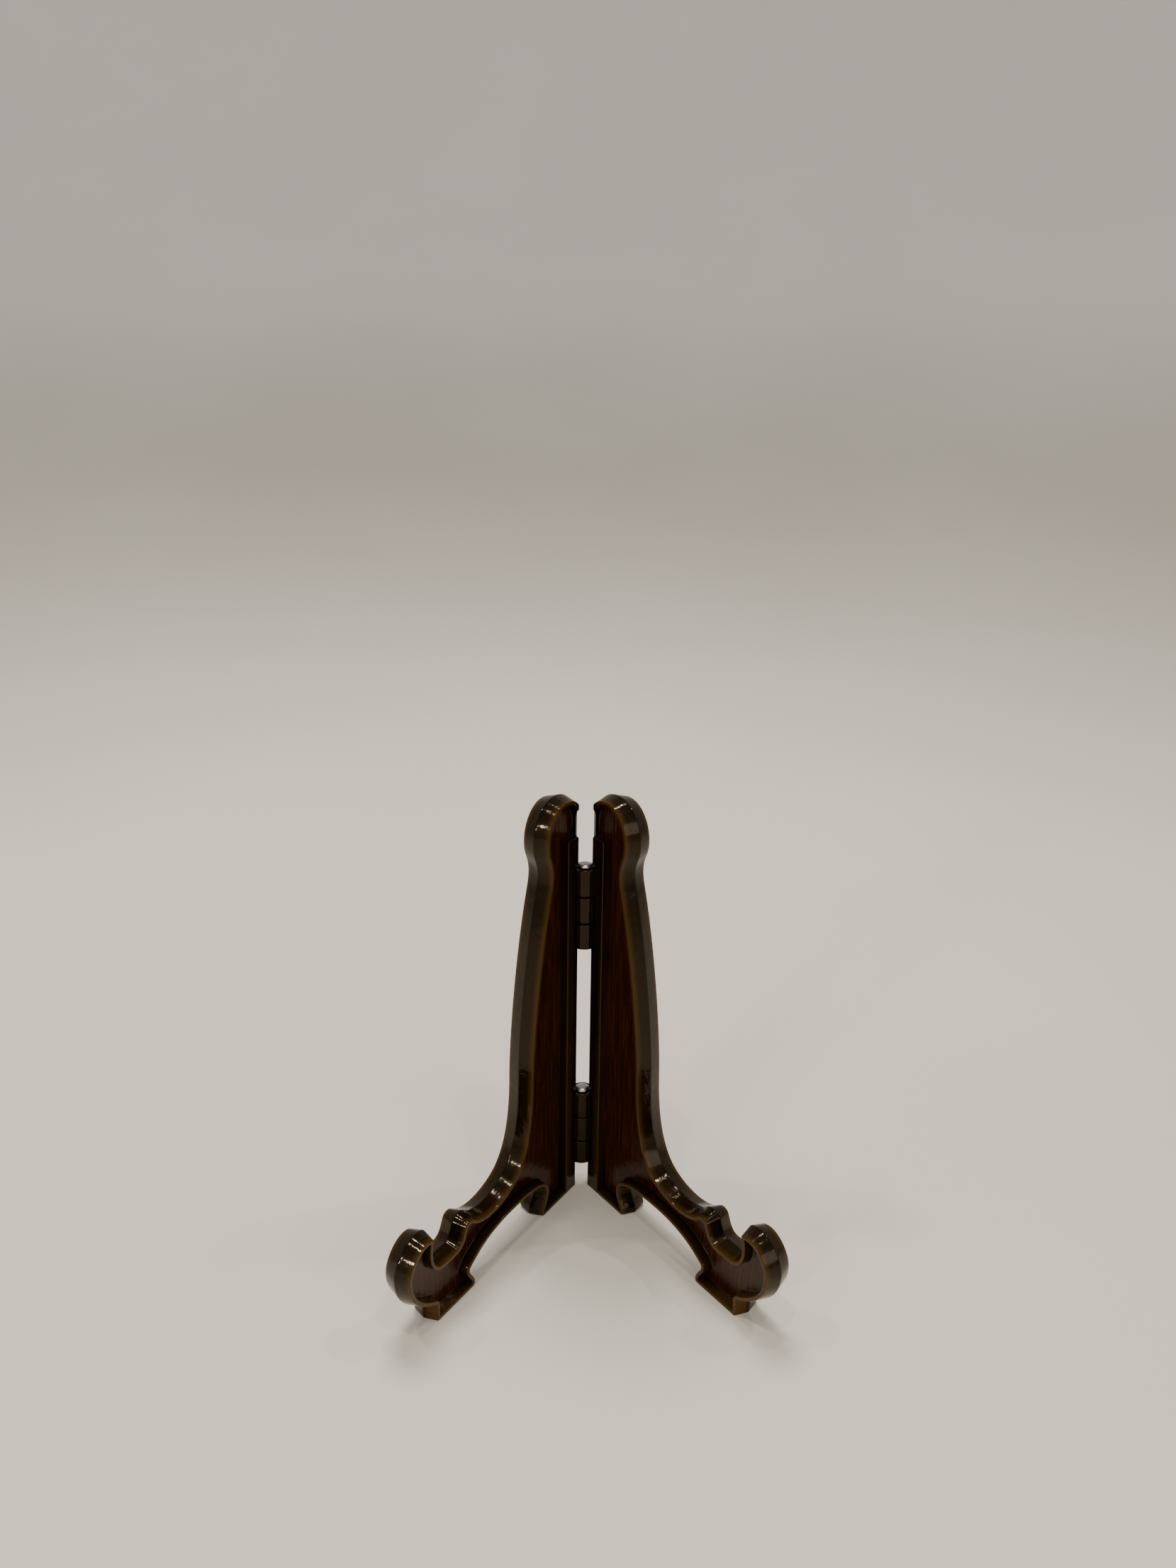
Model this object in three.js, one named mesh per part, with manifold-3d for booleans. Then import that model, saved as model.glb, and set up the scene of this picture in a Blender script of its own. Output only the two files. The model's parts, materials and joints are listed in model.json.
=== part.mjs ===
// Folding plate display stand: two mirror-image moulded legs joined along the back by two short hinges.
// Millimetres, +Z up, front towards -Y. The origin is on the ground, in the middle of the stand's box.
//
// Each leg is drawn once in its own plane: u runs back from the front of the foot, z runs up. It is then
// set beside the hinge axis, which is a vertical line at the back, and swung out to the display angle.

import * as THREE from 'three';
import { mergeVertices } from 'three/addons/utils/BufferGeometryUtils.js';
import Module from 'manifold-3d';

const wasm = await Module();
wasm.setup();

// Leg plates
const LEG_REACH = 66;        // from the hinge axis forward to the front of the foot
const LEG_THICKNESS = 8;     // across the rim
const LEG_HEIGHT = 124.5;    // from the ground to the top of the finial
const RIM_WALL = 1;          // width of the raised rim seen from the side
const RECESS = 3;            // how far the web lies below the rim, on each side
const RIDGE = 1.2;           // height of the crest that runs round the middle of the rim
const INNER_GAP = 0.5;       // from the hinge axis to the inner face of a leg
const REAR_EDGE = 65.7;      // the rear edge stops just short of the axis, so open legs butt together
const HALF_OPENING = 35;     // degrees from straight ahead to each leg, on display
const CURVE_STEPS = 9;       // straight pieces in each curve of the outline
const CUT_OVERRUN = 5;       // how far a cutting shape runs past the leg
const SAME_POINT = 1e-4;     // points closer than this are one point

// Hinges: three knuckles at each of two heights, shared out between the legs
const KNUCKLE_RADIUS = 3.6;
const KNUCKLE_HEIGHT = 7.6;
const KNUCKLE_PITCH = 8;
const KNUCKLES_PER_HINGE = 3;
const LOWER_HINGE = 9;       // height of the bottom of the lower hinge
const UPPER_HINGE = 80;      // height of the bottom of the upper hinge
const SWING_CLEARANCE = 0.5; // between a knuckle and the leg that swings round it
const STILE_DEPTH = 7.2;     // solid strip of plastic in front of the axis, which the knuckles grow from
const STILE_TOP = 113;
const BORE_RADIUS = 1.3;
const PIN_RADIUS = 1;
const PIN_GAP = 0.3;         // under the head of the pin
const HEAD_RADIUS = 2.1;
const HEAD_HEIGHT = 0.9;
const PIN_CHAMFER = 0.3;
const DOME_STEPS = 6;
const ROUND_STEPS = 32;

const HINGE_Y = 28.59;       // puts the middle of the stand's box over the origin

// ---- outline of a leg ------------------------------------------------------------------------------

// Seen from the right: hooked front foot, plate seat, low bar over an arch, and an upright arm at the back.
function legOutline() {
  const path = new THREE.Path();
  path.moveTo(0, 0);
  path.lineTo(0, 5.5);

  // Hook: the belly swells forward of the foot and the crown rolls back to a peaked tip
  path.bezierCurveTo(-6, 8.6, -9.8, 12.6, -9.8, 19);
  path.bezierCurveTo(-9.8, 22.4, -6.4, 26.6, -2.8, 26.6);
  path.quadraticCurveTo(-1.2, 26.6, -0.2, 25.9);

  // Seat for the plate's edge, with a low lip behind it
  path.bezierCurveTo(-1.5, 22.5, -1.5, 16, 3.4, 16);
  path.lineTo(8, 16);
  path.bezierCurveTo(10.6, 16, 11.2, 18.6, 12, 20.4);
  path.bezierCurveTo(12.6, 21.8, 14.6, 22, 15.8, 20.8);

  // Top of the bar, sweeping up into the arm that the plate's back leans on
  path.bezierCurveTo(19, 17.6, 27, 17.4, 33, 21);
  path.bezierCurveTo(39, 24.6, 41.5, 34, 41.8, 46);
  path.bezierCurveTo(42.2, 64, 46.5, 88, 50.5, 101);

  // Round finial at the top of the arm
  path.bezierCurveTo(51.8, 105.2, 51.6, 107.5, 50.2, 110.5);
  path.bezierCurveTo(47.6, 116, 51, LEG_HEIGHT, 58, LEG_HEIGHT);
  path.bezierCurveTo(63, LEG_HEIGHT, REAR_EDGE, 121, REAR_EDGE, 115);

  // Straight rear edge and rear foot
  path.lineTo(REAR_EDGE, 0);
  path.lineTo(47.5, 0);
  path.bezierCurveTo(46.4, 0, 46.3, 1.2, 46.9, 2.2);
  path.bezierCurveTo(48.6, 4.8, 49.4, 6.4, 48.6, 8.4);

  // Arch under the bar, and the heel of the front foot
  path.bezierCurveTo(47.4, 11.6, 41, 12.4, 33, 12.4);
  path.bezierCurveTo(25, 12.4, 19.4, 10.6, 15.8, 8.2);
  path.bezierCurveTo(14, 7, 13.2, 6.8, 13.2, 6);
  path.bezierCurveTo(13.2, 4.4, 15, 3.4, 15.3, 1.2);
  path.bezierCurveTo(15.4, 0.4, 15, 0, 14.4, 0);
  path.closePath();
  return separatePoints(path.getPoints(CURVE_STEPS)).reverse();
}

// The points of a closed loop, without repeats. The outline is drawn clockwise and used anticlockwise.
function separatePoints(points) {
  return points.filter((p, i) => p.distanceTo(points[(i + 1) % points.length]) > SAME_POINT);
}

// Moves every point of an anticlockwise loop outward along the bisector of its corner.
function grown(points, distance) {
  const count = points.length;
  return points.map((p, i) => {
    const before = p.clone().sub(points[(i + count - 1) % count]).normalize();
    const after = points[(i + 1) % count].clone().sub(p).normalize();
    const normal = new THREE.Vector2(before.y + after.y, -before.x - after.x).normalize();
    const spread = normal.dot(new THREE.Vector2(after.y, -after.x));
    return p.clone().addScaledVector(normal, distance / spread);
  });
}

// Distance from a point to the nearest edge of a closed loop.
function distanceToLoop(point, loop) {
  let nearest = Infinity;
  const foot = new THREE.Vector3();
  const target = new THREE.Vector3(point.x, point.y, 0);
  for (let i = 0; i < loop.length; i += 1) {
    const a = loop[i];
    const b = loop[(i + 1) % loop.length];
    const edge = new THREE.Line3(new THREE.Vector3(a.x, a.y, 0), new THREE.Vector3(b.x, b.y, 0));
    edge.closestPointToPoint(target, true, foot);
    nearest = Math.min(nearest, foot.distanceTo(target));
  }
  return nearest;
}

// A loop moved inward, leaving out the points that tight corners would turn back on themselves.
function shrunk(points, distance) {
  const kept = 0.97;
  return grown(points, -distance).filter((p) => distanceToLoop(p, points) > kept * distance);
}

// ---- solids ----------------------------------------------------------------------------------------

function toManifold(geometry) {
  const bare = geometry.index ? geometry.toNonIndexed() : geometry.clone();
  bare.deleteAttribute('normal');
  bare.deleteAttribute('uv');
  const merged = mergeVertices(bare, SAME_POINT);
  const mesh = new wasm.Mesh({
    numProp: 3,
    vertProperties: new Float32Array(merged.attributes.position.array),
    triVerts: new Uint32Array(merged.index.array),
  });
  return new wasm.Manifold(mesh);
}

function toGeometry(solid) {
  const mesh = solid.getMesh();
  const geometry = new THREE.BufferGeometry();
  geometry.setAttribute('position', new THREE.BufferAttribute(new Float32Array(mesh.vertProperties), 3));
  geometry.setIndex(new THREE.BufferAttribute(new Uint32Array(mesh.triVerts), 1));
  geometry.computeVertexNormals();
  return geometry;
}

// Position beside the hinge axis of a point of the leg: out is measured from the leg's inner face.
function placed(point, out) {
  return [INNER_GAP + out, point.x - LEG_REACH, point.y];
}

// Plate whose edge swells to a crest half way through its thickness.
function crestedPlate(outline) {
  const crest = grown(outline, RIDGE);
  const loops = [outline, crest, outline];
  const outs = [0, LEG_THICKNESS / 2, LEG_THICKNESS];
  const count = outline.length;
  const positions = loops.flatMap((loop, k) => loop.flatMap((p) => placed(p, outs[k])));
  const index = [];
  for (let k = 0; k < 2; k += 1) {
    for (let i = 0; i < count; i += 1) {
      const j = (i + 1) % count;
      const low = k * count;
      const high = low + count;
      index.push(low + i, low + j, high + j, low + i, high + j, high + i);
    }
  }
  for (const [a, b, c] of THREE.ShapeUtils.triangulateShape(outline, [])) {
    index.push(a, c, b);
    index.push(2 * count + a, 2 * count + b, 2 * count + c);
  }
  const geometry = new THREE.BufferGeometry();
  geometry.setAttribute('position', new THREE.Float32BufferAttribute(positions, 3));
  geometry.setIndex(index);
  return toManifold(geometry);
}

// Block with the leg's outline, from one distance out from the inner face to another.
function slice(outline, from, to) {
  const options = { depth: to - from, bevelEnabled: false };
  const geometry = new THREE.ExtrudeGeometry(new THREE.Shape(outline), options);
  geometry.applyMatrix4(new THREE.Matrix4().set(
    0, 0, 1, INNER_GAP + from,
    1, 0, 0, -LEG_REACH,
    0, 1, 0, 0,
    0, 0, 0, 1,
  ));
  return toManifold(geometry);
}

function block(low, high) {
  const size = high.map((value, axis) => value - low[axis]);
  const geometry = new THREE.BoxGeometry(...size);
  geometry.translate(...low.map((value, axis) => value + size[axis] / 2));
  return toManifold(geometry);
}

function upright(radius, bottom, top) {
  const geometry = new THREE.CylinderGeometry(radius, radius, top - bottom, ROUND_STEPS);
  geometry.rotateX(Math.PI / 2);
  geometry.translate(0, 0, (bottom + top) / 2);
  return toManifold(geometry);
}

// The whole leg without its hinges: crested rim, with a web recessed on both sides.
function legPlate() {
  const outline = legOutline();
  const web = shrunk(outline, RIM_WALL);
  const farSide = LEG_THICKNESS + CUT_OVERRUN;
  const ground = block([-CUT_OVERRUN, -2 * LEG_REACH, -CUT_OVERRUN], [farSide, CUT_OVERRUN, 0]);
  const rear = block(
    [-CUT_OVERRUN, REAR_EDGE - LEG_REACH, -CUT_OVERRUN],
    [farSide, CUT_OVERRUN, LEG_HEIGHT + CUT_OVERRUN],
  );
  return crestedPlate(outline)
    .subtract(ground)
    .subtract(rear)
    .subtract(slice(web, -CUT_OVERRUN, RECESS))
    .subtract(slice(web, LEG_THICKNESS - RECESS, farSide));
}

// ---- hinges ----------------------------------------------------------------------------------------

function hingeTop(bottom) {
  return bottom + (KNUCKLES_PER_HINGE - 1) * KNUCKLE_PITCH + KNUCKLE_HEIGHT;
}

// Whether a leg holds a knuckle, counted up from the bottom. The leg that owns the ends of a hinge holds
// every other knuckle, starting with the lowest.
function holdsKnuckle(ownsEnds, place) {
  return (place % 2 === 0) === ownsEnds;
}

// Cuts room for the other leg's knuckles, then adds this leg's own and bores them for the pin.
function withHinge(leg, bottom, ownsEnds) {
  const spare = KNUCKLE_PITCH - KNUCKLE_HEIGHT;
  let solid = leg;
  for (let place = 0; place < KNUCKLES_PER_HINGE; place += 1) {
    const low = bottom + place * KNUCKLE_PITCH;
    const high = low + KNUCKLE_HEIGHT;
    solid = holdsKnuckle(ownsEnds, place)
      ? solid.add(upright(KNUCKLE_RADIUS, low, high))
      : solid.subtract(upright(KNUCKLE_RADIUS + SWING_CLEARANCE, low - spare, high + spare));
  }
  return solid.subtract(upright(BORE_RADIUS, bottom - spare, hingeTop(bottom) + spare));
}

// A leg with the stile at its back, grooved from end to end so that the pins can be dropped in from above.
function legGeometry(ownsLowerEnds) {
  const stile = block(
    [INNER_GAP, -STILE_DEPTH, 0],
    [INNER_GAP + LEG_THICKNESS / 2, REAR_EDGE - LEG_REACH, STILE_TOP],
  );
  const groove = upright(HEAD_RADIUS + SWING_CLEARANCE, -CUT_OVERRUN, LEG_HEIGHT + CUT_OVERRUN);
  const blank = legPlate().add(stile).subtract(groove);
  return toGeometry(withHinge(withHinge(blank, LOWER_HINGE, ownsLowerEnds), UPPER_HINGE, !ownsLowerEnds));
}

// The same shape seen in a mirror that stands on the hinge axis.
function mirrored(geometry) {
  geometry.scale(-1, 1, 1);
  const index = geometry.index.array;
  for (let i = 0; i < index.length; i += 3) [index[i], index[i + 1]] = [index[i + 1], index[i]];
  geometry.computeVertexNormals();
  return geometry;
}

// Plain steel pin with a domed head that rests over the top knuckle.
function pinGeometry(bottom) {
  const underHead = hingeTop(bottom) + PIN_GAP;
  const profile = [
    new THREE.Vector2(0, bottom),
    new THREE.Vector2(PIN_RADIUS - PIN_CHAMFER, bottom),
    new THREE.Vector2(PIN_RADIUS, bottom + PIN_CHAMFER),
    new THREE.Vector2(PIN_RADIUS, underHead),
    new THREE.Vector2(HEAD_RADIUS, underHead),
  ];
  for (let i = 1; i < DOME_STEPS; i += 1) {
    const turn = (i / DOME_STEPS) * (Math.PI / 2);
    profile.push(new THREE.Vector2(HEAD_RADIUS * Math.cos(turn), underHead + HEAD_HEIGHT * Math.sin(turn)));
  }
  profile.push(new THREE.Vector2(0, underHead + HEAD_HEIGHT));
  const geometry = new THREE.LatheGeometry(profile, ROUND_STEPS);
  geometry.rotateX(Math.PI / 2);
  return geometry;
}

// ---- assembly --------------------------------------------------------------------------------------

const plastic = new THREE.MeshStandardMaterial({ color: 0x2a120a, roughness: 0.22, metalness: 0 });
const steel = new THREE.MeshStandardMaterial({ color: 0xb9bcc0, roughness: 0.3, metalness: 1 });

function named(name, geometry, material) {
  const mesh = new THREE.Mesh(geometry, material);
  mesh.name = name;
  return mesh;
}

const group = new THREE.Group();
group.position.y = HINGE_Y;

const rightLeg = named('right_leg', legGeometry(false), plastic);
rightLeg.rotation.z = THREE.MathUtils.degToRad(HALF_OPENING);
group.add(rightLeg);

const leftLeg = named('left_leg', mirrored(legGeometry(true)), plastic);
leftLeg.rotation.z = THREE.MathUtils.degToRad(-HALF_OPENING);
group.add(leftLeg);

group.add(named('lower_hinge_pin', pinGeometry(LOWER_HINGE), steel));
group.add(named('upper_hinge_pin', pinGeometry(UPPER_HINGE), steel));

export default group;
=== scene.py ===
"""Plate display stand: two moulded plastic legs and their two steel hinge pins.

Each leg is worked out in millimetres in its own plane (u back from the front of the foot, z up, and n out
from the inner face), then turned, mirrored and scaled into the frame around the hinge axis.
"""

import json
import math

import bmesh
import bpy
import numpy as np
from mathutils import Matrix, Vector, geometry


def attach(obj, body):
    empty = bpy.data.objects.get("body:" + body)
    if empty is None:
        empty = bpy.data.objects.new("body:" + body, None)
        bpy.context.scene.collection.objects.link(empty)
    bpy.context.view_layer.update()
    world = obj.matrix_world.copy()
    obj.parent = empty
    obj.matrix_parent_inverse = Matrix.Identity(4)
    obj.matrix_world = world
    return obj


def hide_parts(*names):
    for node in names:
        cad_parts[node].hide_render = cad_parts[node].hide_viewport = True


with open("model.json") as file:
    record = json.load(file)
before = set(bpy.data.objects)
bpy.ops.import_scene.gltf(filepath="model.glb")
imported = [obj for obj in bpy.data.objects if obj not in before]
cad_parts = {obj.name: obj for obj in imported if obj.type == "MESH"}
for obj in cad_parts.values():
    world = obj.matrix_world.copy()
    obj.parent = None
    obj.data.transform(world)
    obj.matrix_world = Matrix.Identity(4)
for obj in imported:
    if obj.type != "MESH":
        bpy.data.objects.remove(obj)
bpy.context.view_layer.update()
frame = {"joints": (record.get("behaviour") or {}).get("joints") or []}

MM = 0.001

# ---- leg dimensions, in millimetres, as in the CAD model --------------------------------------------

LEG_REACH = 66.0
LEG_THICKNESS = 8.0
LEG_HEIGHT = 124.5
RIM_WALL = 1.0
RECESS = 3.0
RIDGE = 1.2
INNER_GAP = 0.5
REAR_EDGE = 65.7
HALF_OPENING = 35.0

KNUCKLE_RADIUS = 3.6
KNUCKLE_HEIGHT = 7.6
KNUCKLE_PITCH = 8.0
KNUCKLE_COUNT = 3
HINGE_BOTTOMS = {"lower": 9.0, "upper": 80.0}
SWING_CLEARANCE = 0.5
STILE_DEPTH = 7.2
STILE_TOP = 113.0
BORE_RADIUS = 1.3
PIN_RADIUS = 1.0
PIN_GAP = 0.3
HEAD_RADIUS = 2.1
HEAD_HEIGHT = 0.9

HINGE_X, HINGE_Y = frame["joints"][0]["pos_m"][:2]

# ---- outline ----------------------------------------------------------------------------------------

# Clockwise from the front of the foot: a pair is a straight run's end, a six a cubic curve, a four a
# quadratic one.
OUTLINE = (
    (0, 0), (0, 5.5),
    (-6, 8.6, -9.8, 12.6, -9.8, 19), (-9.8, 22.4, -6.4, 26.6, -2.8, 26.6), (-1.2, 26.6, -0.2, 25.9),
    (-1.5, 22.5, -1.5, 16, 3.4, 16), (8, 16), (10.6, 16, 11.2, 18.6, 12, 20.4),
    (12.6, 21.8, 14.6, 22, 15.8, 20.8),
    (19, 17.6, 27, 17.4, 33, 21), (39, 24.6, 41.5, 34, 41.8, 46), (42.2, 64, 46.5, 88, 50.5, 101),
    (51.8, 105.2, 51.6, 107.5, 50.2, 110.5), (47.6, 116, 51, LEG_HEIGHT, 58, LEG_HEIGHT),
    (63, LEG_HEIGHT, REAR_EDGE, 121, REAR_EDGE, 115),
    (REAR_EDGE, 0), (47.5, 0), (46.4, 0, 46.3, 1.2, 46.9, 2.2), (48.6, 4.8, 49.4, 6.4, 48.6, 8.4),
    (47.4, 11.6, 41, 12.4, 33, 12.4), (25, 12.4, 19.4, 10.6, 15.8, 8.2), (14, 7, 13.2, 6.8, 13.2, 6),
    (13.2, 4.4, 15, 3.4, 15.3, 1.2), (15.4, 0.4, 15, 0, 14.4, 0),
)
CURVE_STEPS = 60        # along each curved run of OUTLINE
FINE_STEP = 0.1         # spacing of the even points that the corners are softened on
CORNER_SOFTNESS = 0.3
BELL_REACH = 4          # radii from its middle at which the bell curve that softens is cut off
LONGEST_STEP = 1.0      # between the points that are kept in the end
LARGEST_TURN = math.radians(4)
CROSSING_SLACK = 0.006  # how much nearer than its offset a moved point may lie to the outline


def curve_points(start, step):
    """Points after start along one run of OUTLINE, by the Bernstein polynomials."""
    controls = np.array([start, *np.reshape(step, (-1, 2))], dtype=float)
    if len(controls) == 2:
        return controls[1:]
    t = np.linspace(0, 1, CURVE_STEPS + 1)[1:, None]
    degree = len(controls) - 1
    weights = [math.comb(degree, i) * t**i * (1 - t) ** (degree - i) for i in range(degree + 1)]
    return sum(w * c for w, c in zip(weights, controls))


def resampled(points, step):
    """The closed loop with evenly spaced points."""
    closed = np.vstack([points, points[:1]])
    run = np.concatenate([[0], np.cumsum(np.linalg.norm(np.diff(closed, axis=0), axis=1))])
    places = np.linspace(0, run[-1], int(run[-1] / step) + 1)[:-1]
    return np.column_stack([np.interp(places, run, closed[:, k]) for k in range(2)])


def softened(points, radius, step):
    """The evenly spaced loop with its sharp corners rounded off, by a bell curve of that radius."""
    reach = int(BELL_REACH * radius / step)
    offsets = np.arange(-reach, reach + 1)
    weights = np.exp(-0.5 * (offsets * step / radius) ** 2)
    weights /= weights.sum()
    return sum(w * np.roll(points, o, axis=0) for w, o in zip(weights, offsets))


def thinned(points):
    """Keeps a point where the loop has turned or run far enough since the last one kept."""
    heading = np.unwrap(np.arctan2(*(np.roll(points, -1, axis=0) - points).T[::-1]))
    gaps = np.linalg.norm(np.roll(points, -1, axis=0) - points, axis=1)
    kept = [0]
    run = 0.0
    for i in range(1, len(points)):
        run += gaps[i - 1]
        if run > LONGEST_STEP or abs(heading[i] - heading[kept[-1]]) > LARGEST_TURN:
            kept.append(i)
            run = 0.0
    return points[kept]


def leg_outline():
    """The leg's outline as an anticlockwise loop, with its corners softened."""
    points = [np.array([OUTLINE[0]], dtype=float)]
    for step in OUTLINE[1:]:
        points.append(curve_points(points[-1][-1], step))
    loop = resampled(np.vstack(points), FINE_STEP)
    loop = thinned(softened(loop, CORNER_SOFTNESS, FINE_STEP))
    return loop[::-1]


def outward_normals(loop):
    """Unit normals of an anticlockwise loop's points."""
    along = np.roll(loop, -1, axis=0) - np.roll(loop, 1, axis=0)
    along /= np.linalg.norm(along, axis=1)[:, None]
    return np.column_stack([along[:, 1], -along[:, 0]])


def distance_to_loop(points, loop):
    """Distance from each point to the nearest edge of a closed loop, a batch of points at a time."""
    batch = 2000
    edge = np.roll(loop, -1, axis=0) - loop
    length_squared = (edge**2).sum(axis=1)
    nearest = np.empty(len(points))
    for first in range(0, len(points), batch):
        part = points[first:first + batch, None, :]
        t = np.clip(((part - loop) * edge).sum(axis=2) / length_squared, 0, 1)
        gaps = np.linalg.norm(part - loop - t[..., None] * edge, axis=2)
        nearest[first:first + batch] = gaps.min(axis=1)
    return nearest


def inside(points, loop):
    """Whether each point lies inside the closed loop."""
    x, y = points[:, 0:1], points[:, 1:2]
    a, b = loop, np.roll(loop, -1, axis=0)
    spans = (a[:, 1] > y) != (b[:, 1] > y)
    with np.errstate(divide="ignore", invalid="ignore"):
        cross = a[:, 0] + (y - a[:, 1]) * (b[:, 0] - a[:, 0]) / (b[:, 1] - a[:, 1])
    return (spans & (x < cross)).sum(axis=1) % 2 == 1


def moved_ring(loop, normals, offset):
    """The loop moved outward by offset, with any points that would cross another stretch drawn together."""
    ring = loop + normals * offset
    crossed = distance_to_loop(ring, loop) < abs(offset) - CROSSING_SLACK
    count = len(loop)
    starts = [i for i in range(count) if crossed[i] and not crossed[i - 1]]
    for start in starts:
        end = start
        while crossed[end % count]:
            end += 1
        before, after = ring[start - 1].copy(), ring[end % count].copy()
        for i in range(start, end):
            share = (i - start + 1) / (end - start + 1)
            ring[i % count] = before + (after - before) * share
    return ring


# ---- leg mesh -----------------------------------------------------------------------------------------

# Section through the rim's outer edge, from the inner face to half way: (outward, n). It swells to the crest.
EDGE_SECTION = (
    (-0.16, 0.0), (-0.06, 0.02), (0.02, 0.08), (0.066, 0.22), (0.45, 1.5), (0.8, 2.67), (1.1, 3.68),
    (1.155, 3.87), (RIDGE - 0.03, LEG_THICKNESS / 2),
)
# The side of a leg: (distance in from the outline, depth below the rim). The wall of the recess has a draft,
# and a fillet where it meets the web.
SIDE_SECTION = (
    (0.16, 0.0), (0.72, 0.0), (0.88, 0.05), (0.97, 0.19), (1.14, 2.6), (1.26, 2.86), (1.5, RECESS),
)
WEB_GRID = 2.0          # spacing of the points in the middle of a web
RING_SLACK = 0.985      # share of its distance in from the outline that a ring's point has to keep
SAME_POINT = 0.01       # points this near each other are joined
ROUND_SEGMENTS = 96
CORNER_STEPS = 3        # facets across a rounded edge of a hinge tool
ROUND_PROFILE = 0.5     # the bevel profile of a true round
STILE_STEP = 0.03       # the stile lies this far below the rim
STILE_SOFTNESS = 0.35
KNUCKLE_SOFTNESS = 0.3
LEG_SHARP_ANGLE = math.radians(38)


def side_sheet(loop, normals):
    """Triangles that fill one side of the leg: (points (u, z), depths, triangles)."""
    start = moved_ring(loop, normals, -SIDE_SECTION[0][0])
    points = list(start)
    edges = [(i, (i + 1) % len(start)) for i in range(len(start))]
    for inward, _ in SIDE_SECTION[1:]:
        ring = loop - normals * inward
        ring = ring[distance_to_loop(ring, loop) > RING_SLACK * inward]
        gaps = np.linalg.norm(np.roll(ring, -1, axis=0) - ring, axis=1)
        first = len(points)
        points.extend(ring)
        for i, gap in enumerate(gaps):
            if gap < 2 * LONGEST_STEP:
                edges.append((first + i, first + (i + 1) % len(ring)))
    low, high = loop.min(axis=0), loop.max(axis=0)
    grid = np.stack(np.meshgrid(*(np.arange(a, b, WEB_GRID) for a, b in zip(low, high))), axis=-1)
    grid = grid.reshape(-1, 2)
    deep = SIDE_SECTION[-1][0] + WEB_GRID / 2
    grid = grid[inside(grid, loop)]
    points.extend(grid[distance_to_loop(grid, loop) > deep])
    rim = list(range(len(start)))
    only_inside, tolerance = 1, 1e-5
    made = geometry.delaunay_2d_cdt([Vector(p) for p in points], edges, [rim], only_inside, tolerance)
    places, triangles = np.array([tuple(v) for v in made[0]]), [list(f) for f in made[2]]
    depths = np.interp(distance_to_loop(places, loop), *np.transpose(SIDE_SECTION))
    return places, depths, triangles


def beside_axis(points, n):
    """Places beside the hinge axis, in millimetres, of points in the leg's plane."""
    points = np.asarray(points, dtype=float)
    return np.column_stack([INNER_GAP + n, points[:, 0] - LEG_REACH, points[:, 1]])


def new_object(name, mesh):
    obj = bpy.data.objects.new(name, mesh)
    bpy.context.scene.collection.objects.link(obj)
    return obj


def plate_mesh(loop):
    """The moulding without its hinges: crested rim all round and a web recessed on both sides."""
    normals = outward_normals(loop)
    count = len(loop)
    vertices, faces = [], []
    section = list(EDGE_SECTION) + [(o, LEG_THICKNESS - n) for o, n in reversed(EDGE_SECTION[:-1])]
    for outward, n in section:
        ring = moved_ring(loop, normals, outward)
        ring[:, 1] = np.maximum(ring[:, 1], 0)
        ring[:, 0] = np.minimum(ring[:, 0], REAR_EDGE)
        vertices.extend(beside_axis(ring, np.full(count, n)))
    for k in range(len(section) - 1):
        for i in range(count):
            j = (i + 1) % count
            faces.append((k * count + i, k * count + j, (k + 1) * count + j, (k + 1) * count + i))
    places, depths, triangles = side_sheet(loop, normals)
    for n, order in ((depths, (0, 2, 1)), (LEG_THICKNESS - depths, (0, 1, 2))):
        first = len(vertices)
        vertices.extend(beside_axis(places, n))
        faces.extend(tuple(first + t[i] for i in order) for t in triangles)
    mesh = bpy.data.meshes.new("leg_plate")
    mesh.from_pydata([tuple(v) for v in vertices], [], faces)
    bm = bmesh.new()
    bm.from_mesh(mesh)
    bmesh.ops.remove_doubles(bm, verts=bm.verts, dist=SAME_POINT)
    bmesh.ops.recalc_face_normals(bm, faces=bm.faces)
    bm.to_mesh(mesh)
    bm.free()
    return mesh


def round_edges(bm, edges, softness):
    bmesh.ops.bevel(
        bm, geom=edges, offset=softness, segments=CORNER_STEPS, profile=ROUND_PROFILE, affect="EDGES"
    )


def upright_tool(name, radius, bottom, top, softness=0.0):
    """A cylinder on the hinge axis, with its end edges rounded off."""
    bm = bmesh.new()
    bmesh.ops.create_cone(
        bm, cap_ends=True, segments=ROUND_SEGMENTS, radius1=radius, radius2=radius, depth=top - bottom
    )
    bmesh.ops.translate(bm, verts=bm.verts, vec=(0, 0, (top + bottom) / 2))
    if softness:
        rims = [e for e in bm.edges if abs(e.verts[0].co.z - e.verts[1].co.z) < softness]
        round_edges(bm, rims, softness)
    return tool_object(name, bm)


def block_tool(name, low, high, softness):
    """A box from its lowest to its highest corner, with its edges rounded off."""
    bm = bmesh.new()
    bmesh.ops.create_cube(bm, size=1)
    size = Vector(high) - Vector(low)
    bmesh.ops.transform(bm, matrix=Matrix.Diagonal((*size, 1)), verts=bm.verts)
    bmesh.ops.translate(bm, verts=bm.verts, vec=(Vector(low) + Vector(high)) / 2)
    round_edges(bm, bm.edges[:], softness)
    return tool_object(name, bm)


def tool_object(name, bm):
    mesh = bpy.data.meshes.new(name)
    bm.to_mesh(mesh)
    bm.free()
    return new_object(name, mesh)


def hinge_top(bottom):
    return bottom + (KNUCKLE_COUNT - 1) * KNUCKLE_PITCH + KNUCKLE_HEIGHT


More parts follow.
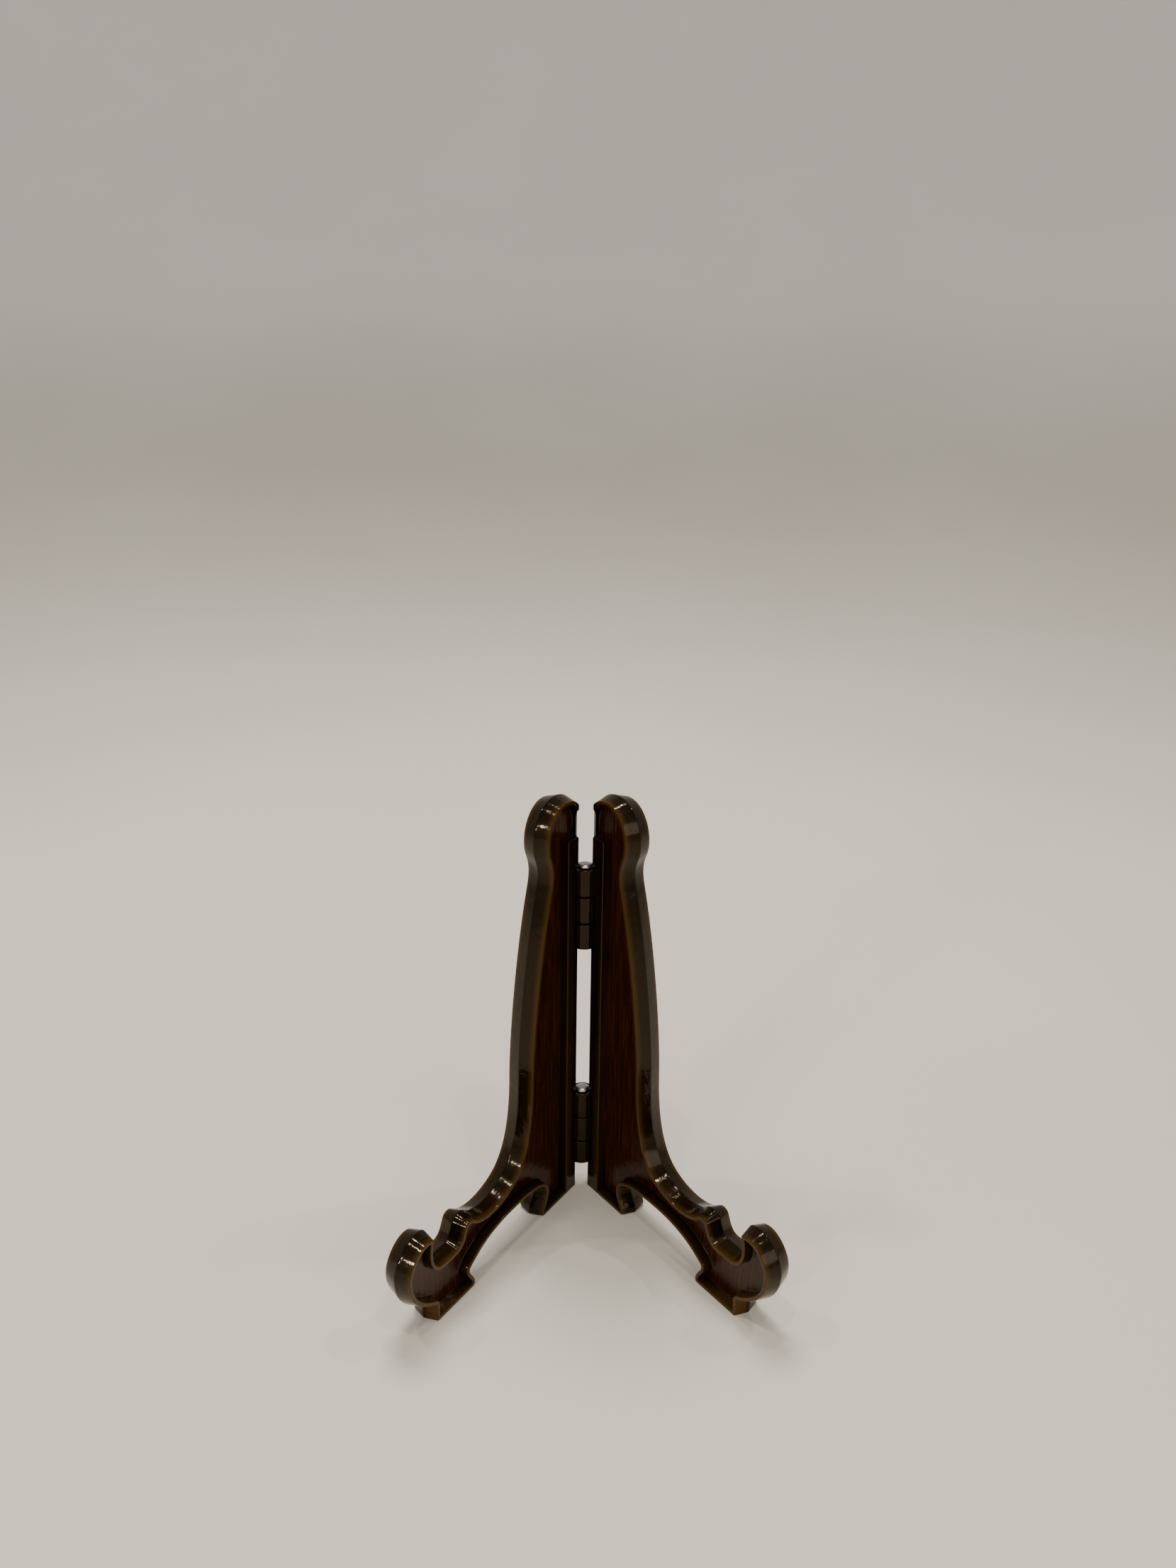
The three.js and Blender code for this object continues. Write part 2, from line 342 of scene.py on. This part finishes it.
def hinge_steps(owned_ends):
    """(operation, tool) steps that turn the plain moulding into one with its stile and knuckles."""
    overrun = 5
    wall_middle = RIM_WALL / 2
    rear = REAR_EDGE - LEG_REACH
    yield "UNION", block_tool(
        "stile",
        (INNER_GAP + STILE_STEP, -STILE_DEPTH, wall_middle),
        (INNER_GAP + LEG_THICKNESS / 2, rear - wall_middle, STILE_TOP),
        STILE_SOFTNESS,
    )
    yield "DIFFERENCE", upright_tool("groove", HEAD_RADIUS + SWING_CLEARANCE, -overrun, LEG_HEIGHT + overrun)
    spare = KNUCKLE_PITCH - KNUCKLE_HEIGHT
    for hinge, bottom in HINGE_BOTTOMS.items():
        for place in range(KNUCKLE_COUNT):
            low = bottom + place * KNUCKLE_PITCH
            high = low + KNUCKLE_HEIGHT
            if (place % 2 == 0) == (hinge in owned_ends):
                yield "UNION", upright_tool("knuckle", KNUCKLE_RADIUS, low, high, KNUCKLE_SOFTNESS)
            else:
                radius = KNUCKLE_RADIUS + SWING_CLEARANCE
                yield "DIFFERENCE", upright_tool("relief", radius, low - spare, high + spare)
        yield "DIFFERENCE", upright_tool("bore", BORE_RADIUS, bottom - spare, hinge_top(bottom) + spare)


def combined(mesh, steps):
    """The mesh after all the joins and cuts, with the tools thrown away."""
    obj = new_object("blank", mesh)
    tools = []
    for operation, tool in steps:
        modifier = obj.modifiers.new(operation, "BOOLEAN")
        modifier.operation = operation
        modifier.solver = "EXACT"
        modifier.object = tool
        tools.append(tool)
    depsgraph = bpy.context.evaluated_depsgraph_get()
    result = bpy.data.meshes.new_from_object(obj.evaluated_get(depsgraph))
    for item in (obj, *tools):
        bpy.data.objects.remove(item)
    return result


def vertex_places(mesh):
    places = np.empty(len(mesh.vertices) * 3)
    mesh.vertices.foreach_get("co", places)
    return places.reshape(-1, 3)


def smooth_step(low, high, values):
    """0 up to low, 1 from high, and an even rise between them."""
    t = np.clip((values - low) / (high - low), 0, 1)
    return t * t * (3 - 2 * t)


# Where the plastic's looks change over, in millimetres: (from, to). A depth is measured from the nearer side
# of the leg, and an inset from its outline.
WEB_DEPTHS = (RECESS - 0.25, RECESS - 0.05)
WEB_INSETS = (RIM_WALL, 1.5)
LIP_DEPTHS = (0.05, 0.8)
LIP_INSETS = (0.8, 1.2)
THIN_DEPTHS = (RECESS - 0.4, RECESS + 0.9)
THIN_INSETS = (0.9, 1.4)
# Painted glow, standing for light through the thin rim: where it is strongest under the belly, and how strong
# it is all round and there.
BELLY_HEIGHTS = (4, 18)
BELLY_REACH = (2, 16)
PAINTED_GLOW_ALL_ROUND = 0.035
PAINTED_GLOW_UNDER_BELLY = 0.6


def add_leg_attributes(mesh, loop):
    """Stores where each point is on the leg, for the material.

    leg_place is its (u, z, n); lip and web say how far it is on the rim's edge or in a recess; the glow value
    is painted light, standing for light that comes through the thin rim there, which is most low on the
    hook's belly.
    """
    places = vertex_places(mesh)
    flat = np.column_stack([places[:, 1] + LEG_REACH, places[:, 2]])
    n = places[:, 0] - INNER_GAP
    from_side = np.minimum(n, LEG_THICKNESS - n)
    inward = np.where(inside(flat, loop), distance_to_loop(flat, loop), 0)
    on_rim = np.hypot(places[:, 0], places[:, 1]) > KNUCKLE_RADIUS + SWING_CLEARANCE
    web = smooth_step(*WEB_DEPTHS, from_side) * smooth_step(*WEB_INSETS, inward)
    lip = on_rim * (1 - smooth_step(*LIP_DEPTHS, from_side)) * (1 - smooth_step(*LIP_INSETS, inward))
    thin = on_rim * (1 - smooth_step(*THIN_DEPTHS, from_side)) * (1 - smooth_step(*THIN_INSETS, inward))
    belly = (1 - smooth_step(*BELLY_HEIGHTS, flat[:, 1])) * (1 - smooth_step(*BELLY_REACH, flat[:, 0]))
    painted_glow = thin * (PAINTED_GLOW_ALL_ROUND + PAINTED_GLOW_UNDER_BELLY * belly)
    for name, values in (("web", web), ("lip", lip), ("painted_glow", painted_glow)):
        attribute = mesh.attributes.new(name, "FLOAT", "POINT")
        attribute.data.foreach_set("value", values.astype(np.float32))
    place = mesh.attributes.new("leg_place", "FLOAT_VECTOR", "POINT")
    place.data.foreach_set("vector", np.column_stack([flat, n]).astype(np.float32).ravel())


def leg(node, side, owned_ends, body):
    """side is 1 for the right leg and -1 for the left."""
    loop = leg_outline()
    mesh = combined(plate_mesh(loop), hinge_steps(owned_ends))
    add_leg_attributes(mesh, loop)
    turn = Matrix.Rotation(side * math.radians(HALF_OPENING), 4, "Z")
    mirror = Matrix.Diagonal((side, 1, 1, 1))
    mesh.transform(Matrix.Translation((HINGE_X, HINGE_Y, 0)) @ turn @ mirror @ Matrix.Scale(MM, 4))
    if side < 0:
        mesh.flip_normals()
    mesh.shade_smooth()
    mesh.set_sharp_from_angle(angle=LEG_SHARP_ANGLE)
    mesh.materials.clear()
    mesh.materials.append(PLASTIC)
    obj = new_object(node + "_moulding", mesh)
    weighted = obj.modifiers.new("even_shading", "WEIGHTED_NORMAL")
    weighted.keep_sharp = True
    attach(obj, body)
    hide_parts(node)


# ---- materials ----------------------------------------------------------------------------------------


class Nodes:
    """Short calls for building one material's nodes."""

    def __init__(self, name):
        self.material = bpy.data.materials.new(name)
        self.material.use_nodes = True
        self.tree = self.material.node_tree
        self.shader = self.tree.nodes["Principled BSDF"]

    def add(self, kind, settings=None, **inputs):
        node = self.tree.nodes.new("ShaderNode" + kind)
        for key, value in (settings or {}).items():
            setattr(node, key, value)
        for key, value in inputs.items():
            self.feed(node, key.replace("_", " "), value)
        return node

    def feed(self, node, key, value):
        socket = node.inputs[int(key)] if key.isdigit() else node.inputs[key]
        if isinstance(value, bpy.types.NodeSocket):
            self.tree.links.new(value, socket)
        else:
            socket.default_value = value

    def math(self, operation, a, b=0.0, clamp=False):
        node = self.add("Math", {"operation": operation, "use_clamp": clamp})
        self.feed(node, "0", a)
        self.feed(node, "1", b)
        return node.outputs[0]

    def ramp(self, value, stops):
        node = self.add("ValToRGB")
        self.feed(node, "Fac", value)
        elements = node.color_ramp.elements
        while len(elements) < len(stops):
            elements.new(0.5)
        for element, (position, colour) in zip(elements, stops):
            element.position = position
            element.color = (*colour, 1) if len(colour) == 3 else colour
        return node.outputs["Color"]

    def noise(self, vector, scale, detail=2.0, roughness=0.5, distortion=0.0):
        node = self.add("TexNoise")
        for key, value in (
            ("Vector", vector), ("Scale", scale), ("Detail", detail), ("Roughness", roughness),
            ("Distortion", distortion),
        ):
            self.feed(node, key, value)
        return node.outputs["Fac"]

    def stretched(self, vector, scale):
        node = self.add("Mapping")
        self.feed(node, "Vector", vector)
        self.feed(node, "Scale", scale)
        return node.outputs["Vector"]

    def mix(self, factor, a, b, blend="MIX"):
        node = self.add("Mix", {"data_type": "RGBA", "blend_type": blend})
        for socket, value in (("Factor", factor), ("A", a), ("B", b)):
            target = [i for i in node.inputs if i.name == socket and i.enabled][0]
            if isinstance(value, bpy.types.NodeSocket):
                self.tree.links.new(value, target)
            else:
                target.default_value = (*value, 1) if isinstance(value, tuple) else value
        return [o for o in node.outputs if o.enabled][0]

    def attribute(self, name, output="Fac"):
        return self.add("Attribute", {"attribute_name": name}).outputs[output]

    def bump(self, height, strength, distance, normal=None):
        node = self.add("Bump")
        self.feed(node, "Height", height)
        self.feed(node, "Strength", strength)
        self.feed(node, "Distance", distance)
        if normal is not None:
            self.feed(node, "Normal", normal)
        return node.outputs["Normal"]

    def set(self, **inputs):
        for key, value in inputs.items():
            self.feed(self.shader, key.replace("_", " "), value)


# Colours are linear; a ramp's are (place on the ramp, colour)
GRAIN_COLOURS = (
    (0.3, (0.007, 0.0014, 0.0003)), (0.5, (0.024, 0.0052, 0.0009)), (0.7, (0.056, 0.0145, 0.0022)),
)
BODY_COLOURS = ((0.3, (0.003, 0.0013, 0.0002)), (0.7, (0.0085, 0.0041, 0.0006)))
# Painted light that comes through the thin rim.
PAINTED_GLOW_COLOUR = (0.085, 0.036, 0.0036)
# Painted light on the rim's flat edge, standing for light through the thin rim wall.
PAINTED_LIP_LIGHT = (0.05, 0.024, 0.0032)
LIP_SHARE = 0.85
STEEL_COLOURS = ((0.3, (0.36, 0.35, 0.34)), (0.7, (0.56, 0.55, 0.54)))
FLOOR_COLOURS = ((0.3, (0.665, 0.625, 0.56)), (0.7, (0.705, 0.665, 0.6)))


def plastic_material():
    """Glossy dark brown plastic, with painted olive amber light where the rim is thin, and wood grain moulded
    into the webs.

    The noises are in millimetres of the leg, so a stretch of 1.9 across and 0.06 up makes upright streaks.
    """
    n = Nodes("brown_plastic")
    place = n.attribute("leg_place", "Vector")
    web = n.attribute("web")
    lip = n.attribute("lip")
    painted_glow = n.attribute("painted_glow")

    grain = n.noise(n.stretched(place, (1.9, 0.06, 1.0)), 1.0, 6, 0.62, 0.35)
    pores = n.noise(n.stretched(place, (5.5, 0.3, 1.0)), 1.0, 4, 0.6, 0.2)
    cloud = n.noise(n.stretched(place, (0.09, 0.05, 0.09)), 1.0, 3, 0.5, 0.6)

    colour = n.mix(web, n.ramp(cloud, BODY_COLOURS), n.ramp(grain, GRAIN_COLOURS))
    # Painted light through the thin rim, most under the belly.
    colour = n.mix(painted_glow, colour, PAINTED_GLOW_COLOUR)
    # Painted light on the rim's flat edge.
    colour = n.mix(n.math("MULTIPLY", lip, LIP_SHARE), colour, PAINTED_LIP_LIGHT)
    n.set(Base_Color=colour)

    smudges = n.noise(n.stretched(place, (0.35, 0.35, 0.35)), 1.0, 5, 0.65)
    roughness = n.add("MapRange", {}, From_Min=0.3, From_Max=0.75, To_Min=0.06, To_Max=0.15)
    n.feed(roughness, "Value", smudges)
    n.set(Roughness=n.math("ADD", roughness.outputs[0], n.math("MULTIPLY", web, 0.07)))

    ripple = n.noise(n.stretched(place, (0.42, 0.42, 0.42)), 1.0, 2, 0.5)
    dimples = n.noise(n.stretched(place, (1.7, 1.7, 1.7)), 1.0, 2, 0.5)
    normal = n.bump(ripple, 0.5, 0.00016)
    normal = n.bump(dimples, 0.12, 0.00004, normal)
    fine = n.math("MULTIPLY", n.math("ADD", grain, n.math("MULTIPLY", pores, 0.6)), web)
    n.set(Normal=n.bump(fine, 0.7, 0.00008, normal))

    n.set(Specular_IOR_Level=0.25, Subsurface_Weight=0.25, Subsurface_Scale=0.0025)
    # The warm specular tint is a painted reflection colour, standing for warm surroundings seen in the gloss.
    n.set(Specular_Tint=(1.0, 0.84, 0.62, 1))
    n.set(Subsurface_Radius=(1.0, 0.42, 0.12))
    return n.material


def steel_material():
    """Bright drawn wire, faintly lined and clouded."""
    n = Nodes("pin_steel")
    where = n.add("TexCoord").outputs["Object"]
    lines = n.noise(n.stretched(where, (2200, 2200, 260)), 1.0, 3, 0.6)
    cloud = n.noise(n.stretched(where, (500, 500, 500)), 1.0, 3)
    n.set(Base_Color=n.ramp(cloud, STEEL_COLOURS))
    n.set(Roughness=n.add("MapRange", {}, Value=lines, To_Min=0.2, To_Max=0.38).outputs[0])
    n.set(Normal=n.bump(lines, 0.3, 0.00003), Metallic=1.0)
    return n.material


# ---- pins ---------------------------------------------------------------------------------------------

PIN_CHAMFER = 0.3
PIN_SOFTNESS = 0.06
DOME_STEPS = 14
PIN_SHARP_ANGLE = math.radians(50)
PIN_SAME_POINT = 1e-6   # metres


def pin(node, bottom, body):
    """Round pin with a chamfered foot and a domed head, turned about the hinge axis."""
    under = hinge_top(bottom) + PIN_GAP
    crisp, slope = PIN_SOFTNESS, bottom + PIN_CHAMFER
    profile = [
        (0, bottom), (PIN_RADIUS - PIN_CHAMFER, bottom), (PIN_RADIUS - crisp, slope - crisp),
        (PIN_RADIUS, slope + crisp), (PIN_RADIUS, under - crisp), (PIN_RADIUS + crisp, under),
        (HEAD_RADIUS - crisp, under),
    ]
    for i in range(DOME_STEPS):
        turn = i / DOME_STEPS * math.pi / 2
        profile.append((HEAD_RADIUS * math.cos(turn), under + crisp + (HEAD_HEIGHT - crisp) * math.sin(turn)))
    profile.append((0, under + HEAD_HEIGHT))
    bm = bmesh.new()
    verts = [bm.verts.new((r * MM, 0, z * MM)) for r, z in profile]
    edges = [bm.edges.new(pair) for pair in zip(verts, verts[1:])]
    bmesh.ops.spin(
        bm, geom=verts + edges, axis=(0, 0, 1), cent=(0, 0, 0), angle=math.tau, steps=ROUND_SEGMENTS,
        use_merge=True,
    )
    bmesh.ops.remove_doubles(bm, verts=bm.verts, dist=PIN_SAME_POINT)
    bmesh.ops.recalc_face_normals(bm, faces=bm.faces)
    bmesh.ops.translate(bm, verts=bm.verts, vec=(HINGE_X, HINGE_Y, 0))
    mesh = bpy.data.meshes.new(node)
    bm.to_mesh(mesh)
    bm.free()
    mesh.shade_smooth()
    mesh.set_sharp_from_angle(angle=PIN_SHARP_ANGLE)
    mesh.materials.append(STEEL)
    obj = new_object(node + "_wire", mesh)
    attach(obj, body)
    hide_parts(node)


# ---- stage --------------------------------------------------------------------------------------------


def floor_material():
    """Pale matt paint, lit a little from within where it rises into the wall."""
    n = Nodes("pale_floor")
    where = n.add("TexCoord").outputs["Object"]
    soft = n.noise(where, 3.0, 2)
    height = n.add("SeparateXYZ", Vector=where).outputs["Z"]
    lift = n.add(
        "MapRange", {"interpolation_type": "SMOOTHSTEP"},
        Value=height, From_Min=0.02, From_Max=0.45, To_Max=0.2,
    )
    n.set(Emission_Color=(1.0, 0.97, 0.93, 1), Emission_Strength=lift.outputs[0])
    n.set(Base_Color=n.ramp(soft, FLOOR_COLOURS))
    n.set(Roughness=0.7, Specular_IOR_Level=0.0)
    return n.material


def pale_floor():
    """Round pale floor that curves up into a wall on every side, as a photographer's cove does."""
    flat_radius, bend, wall_height = 0.8, 2.2, 3.2
    around, bend_steps = 128, 20
    profile = [(flat_radius * share, 0.0) for share in (0.2, 0.6, 1.0)]
    for i in range(1, bend_steps + 1):
        turn = i / bend_steps * math.pi / 2
        profile.append((flat_radius + bend * math.sin(turn), bend * (1 - math.cos(turn))))
    profile.append((flat_radius + bend, wall_height))
    bm = bmesh.new()
    middle = bm.verts.new((0, 0, 0))
    rings = []
    for radius, height in profile:
        turns = [math.tau * i / around for i in range(around)]
        rings.append([bm.verts.new((radius * math.cos(t), radius * math.sin(t), height)) for t in turns])
    for i in range(around):
        j = (i + 1) % around
        bm.faces.new((middle, rings[0][i], rings[0][j]))
        for inner, outer in zip(rings, rings[1:]):
            bm.faces.new((inner[i], outer[i], outer[j], inner[j]))
    mesh = bpy.data.meshes.new("pale_floor")
    bm.to_mesh(mesh)
    bm.free()
    mesh.shade_smooth()
    mesh.materials.append(floor_material())
    new_object("pale_floor", mesh)


def area_light(name, place, target, size, power, colour=(1, 1, 1)):
    data = bpy.data.lights.new(name, "AREA")
    data.shape = "ELLIPSE"
    data.size, data.size_y = size
    data.energy = power
    data.color = colour
    light = new_object(name, data)
    light.location = place
    light.rotation_euler = (Vector(target) - Vector(place)).to_track_quat("-Z", "Y").to_euler()
    return light


def camera():
    """Looks down at the hooks from just left of the middle, as one stands over a table."""
    view_down, view_right, roll = (math.radians(a) for a in (19.5, 2.3, 0.8))
    data = bpy.data.cameras.new("camera")
    data.sensor_width = 36.0
    data.lens = 26.0
    data.clip_start = 0.01
    obj = new_object("camera", data)
    place = Matrix.Translation((-0.0109, -0.2545, 0.2278))
    heading = Matrix.Rotation(-view_right, 4, "Z") @ Matrix.Rotation(math.pi / 2 - view_down, 4, "X")
    obj.matrix_world = place @ heading @ Matrix.Rotation(roll, 4, "Z")
    bpy.context.scene.camera = obj


def surroundings():
    """An even dim room, a broad light above and one in front, and small lamps for the glints in the photo."""
    world = bpy.data.worlds.new("studio")
    bpy.context.scene.world = world
    world.use_nodes = True
    background = world.node_tree.nodes["Background"]
    background.inputs["Color"].default_value = (1.0, 0.98, 0.95, 1)
    background.inputs["Strength"].default_value = 0.3
    middle = (0, 0, 0.05)
    warm = (1.0, 0.93, 0.82)
    overhead = area_light("overhead", (-0.1, 0.45, 1.1), middle, (0.5, 0.4), 9, (1.0, 0.96, 0.9))
    overhead.visible_glossy = False
    front_fill = area_light("front_fill", (0.82, -1.0, 0.62), middle, (1.1, 0.7), 1.55, (1.0, 0.98, 0.95))
    front_fill.data.spread = math.radians(120)
    lamps = ((-0.13, -0.2, 0.9), (0.17, -0.3, 0.95), (0.05, 0.15, 1.0), (-0.45, 0.1, 0.8), (0.5, 0.15, 0.8))
    low_lamps = ((-0.74, -0.86, 0.48), (-0.58, -0.9, 0.66))
    lamp_size, lamp_power = 0.035, 0.9
    low_lamp_size, low_lamp_power = 0.08, 1.6
    for i, place in enumerate(lamps):
        area_light(f"lamp_{i}", place, middle, (lamp_size, lamp_size), lamp_power, warm)
    for i, place in enumerate(low_lamps):
        area_light(f"low_lamp_{i}", place, middle, (low_lamp_size, low_lamp_size), low_lamp_power, warm)


# ---- assembly -----------------------------------------------------------------------------------------

PLASTIC = plastic_material()
STEEL = steel_material()

camera()
pale_floor()
surroundings()
leg("left_leg", -1, {"lower"}, "left_half")
leg("right_leg", 1, {"upper"}, "right_half")
pin("lower_hinge_pin", HINGE_BOTTOMS["lower"], "left_half")
pin("upper_hinge_pin", HINGE_BOTTOMS["upper"], "right_half")
